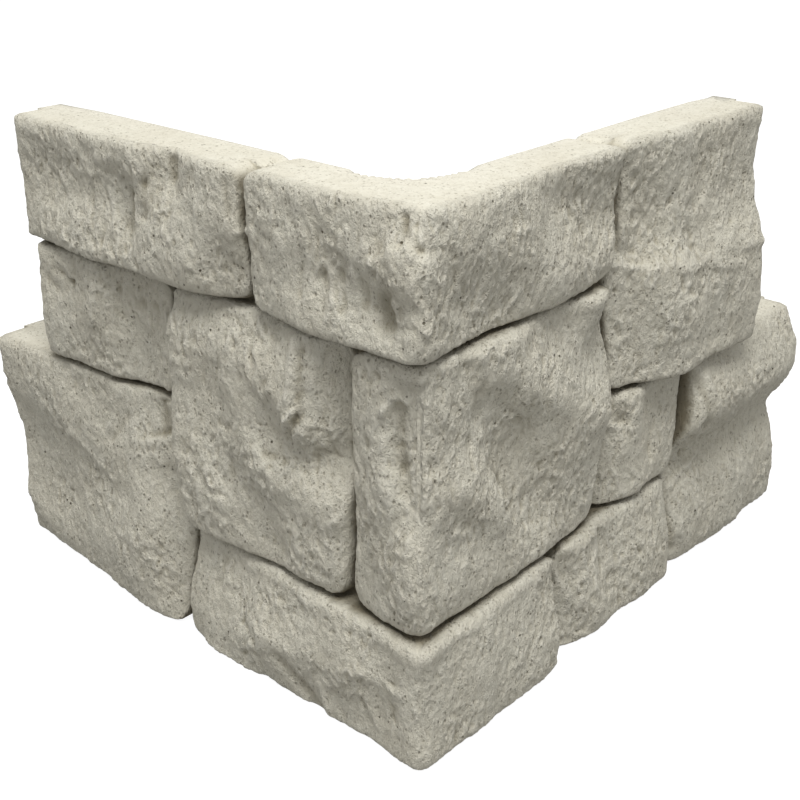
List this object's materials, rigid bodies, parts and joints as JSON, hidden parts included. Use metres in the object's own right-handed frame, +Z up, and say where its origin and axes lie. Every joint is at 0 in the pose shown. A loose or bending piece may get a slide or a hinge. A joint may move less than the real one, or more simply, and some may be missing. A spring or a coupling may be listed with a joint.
{
  "type": "stone cladding corner piece",
  "caption": "L-shaped cast piece of split-stone cladding that wraps an outer wall corner, with a flat back for gluing and stepped ends that interlock with the courses beside it.",
  "frame": {"origin": "the wall's corner line, where the planes of the two backs meet, at the height of the flat bottom", "axes": "+Z up along the wall's corner line, +X along the right wing out of the left wing's back, +Y along the left wing out of the right wing's back"},
  "size_m": [0.271, 0.2504, 0.2],
  "materials": {
    "cast_stone": "matt, rough split face with chalky light crust"
  },
  "bodies": {
    "root": {"corner_piece": "cast_stone"}
  },
  "joints": []
}
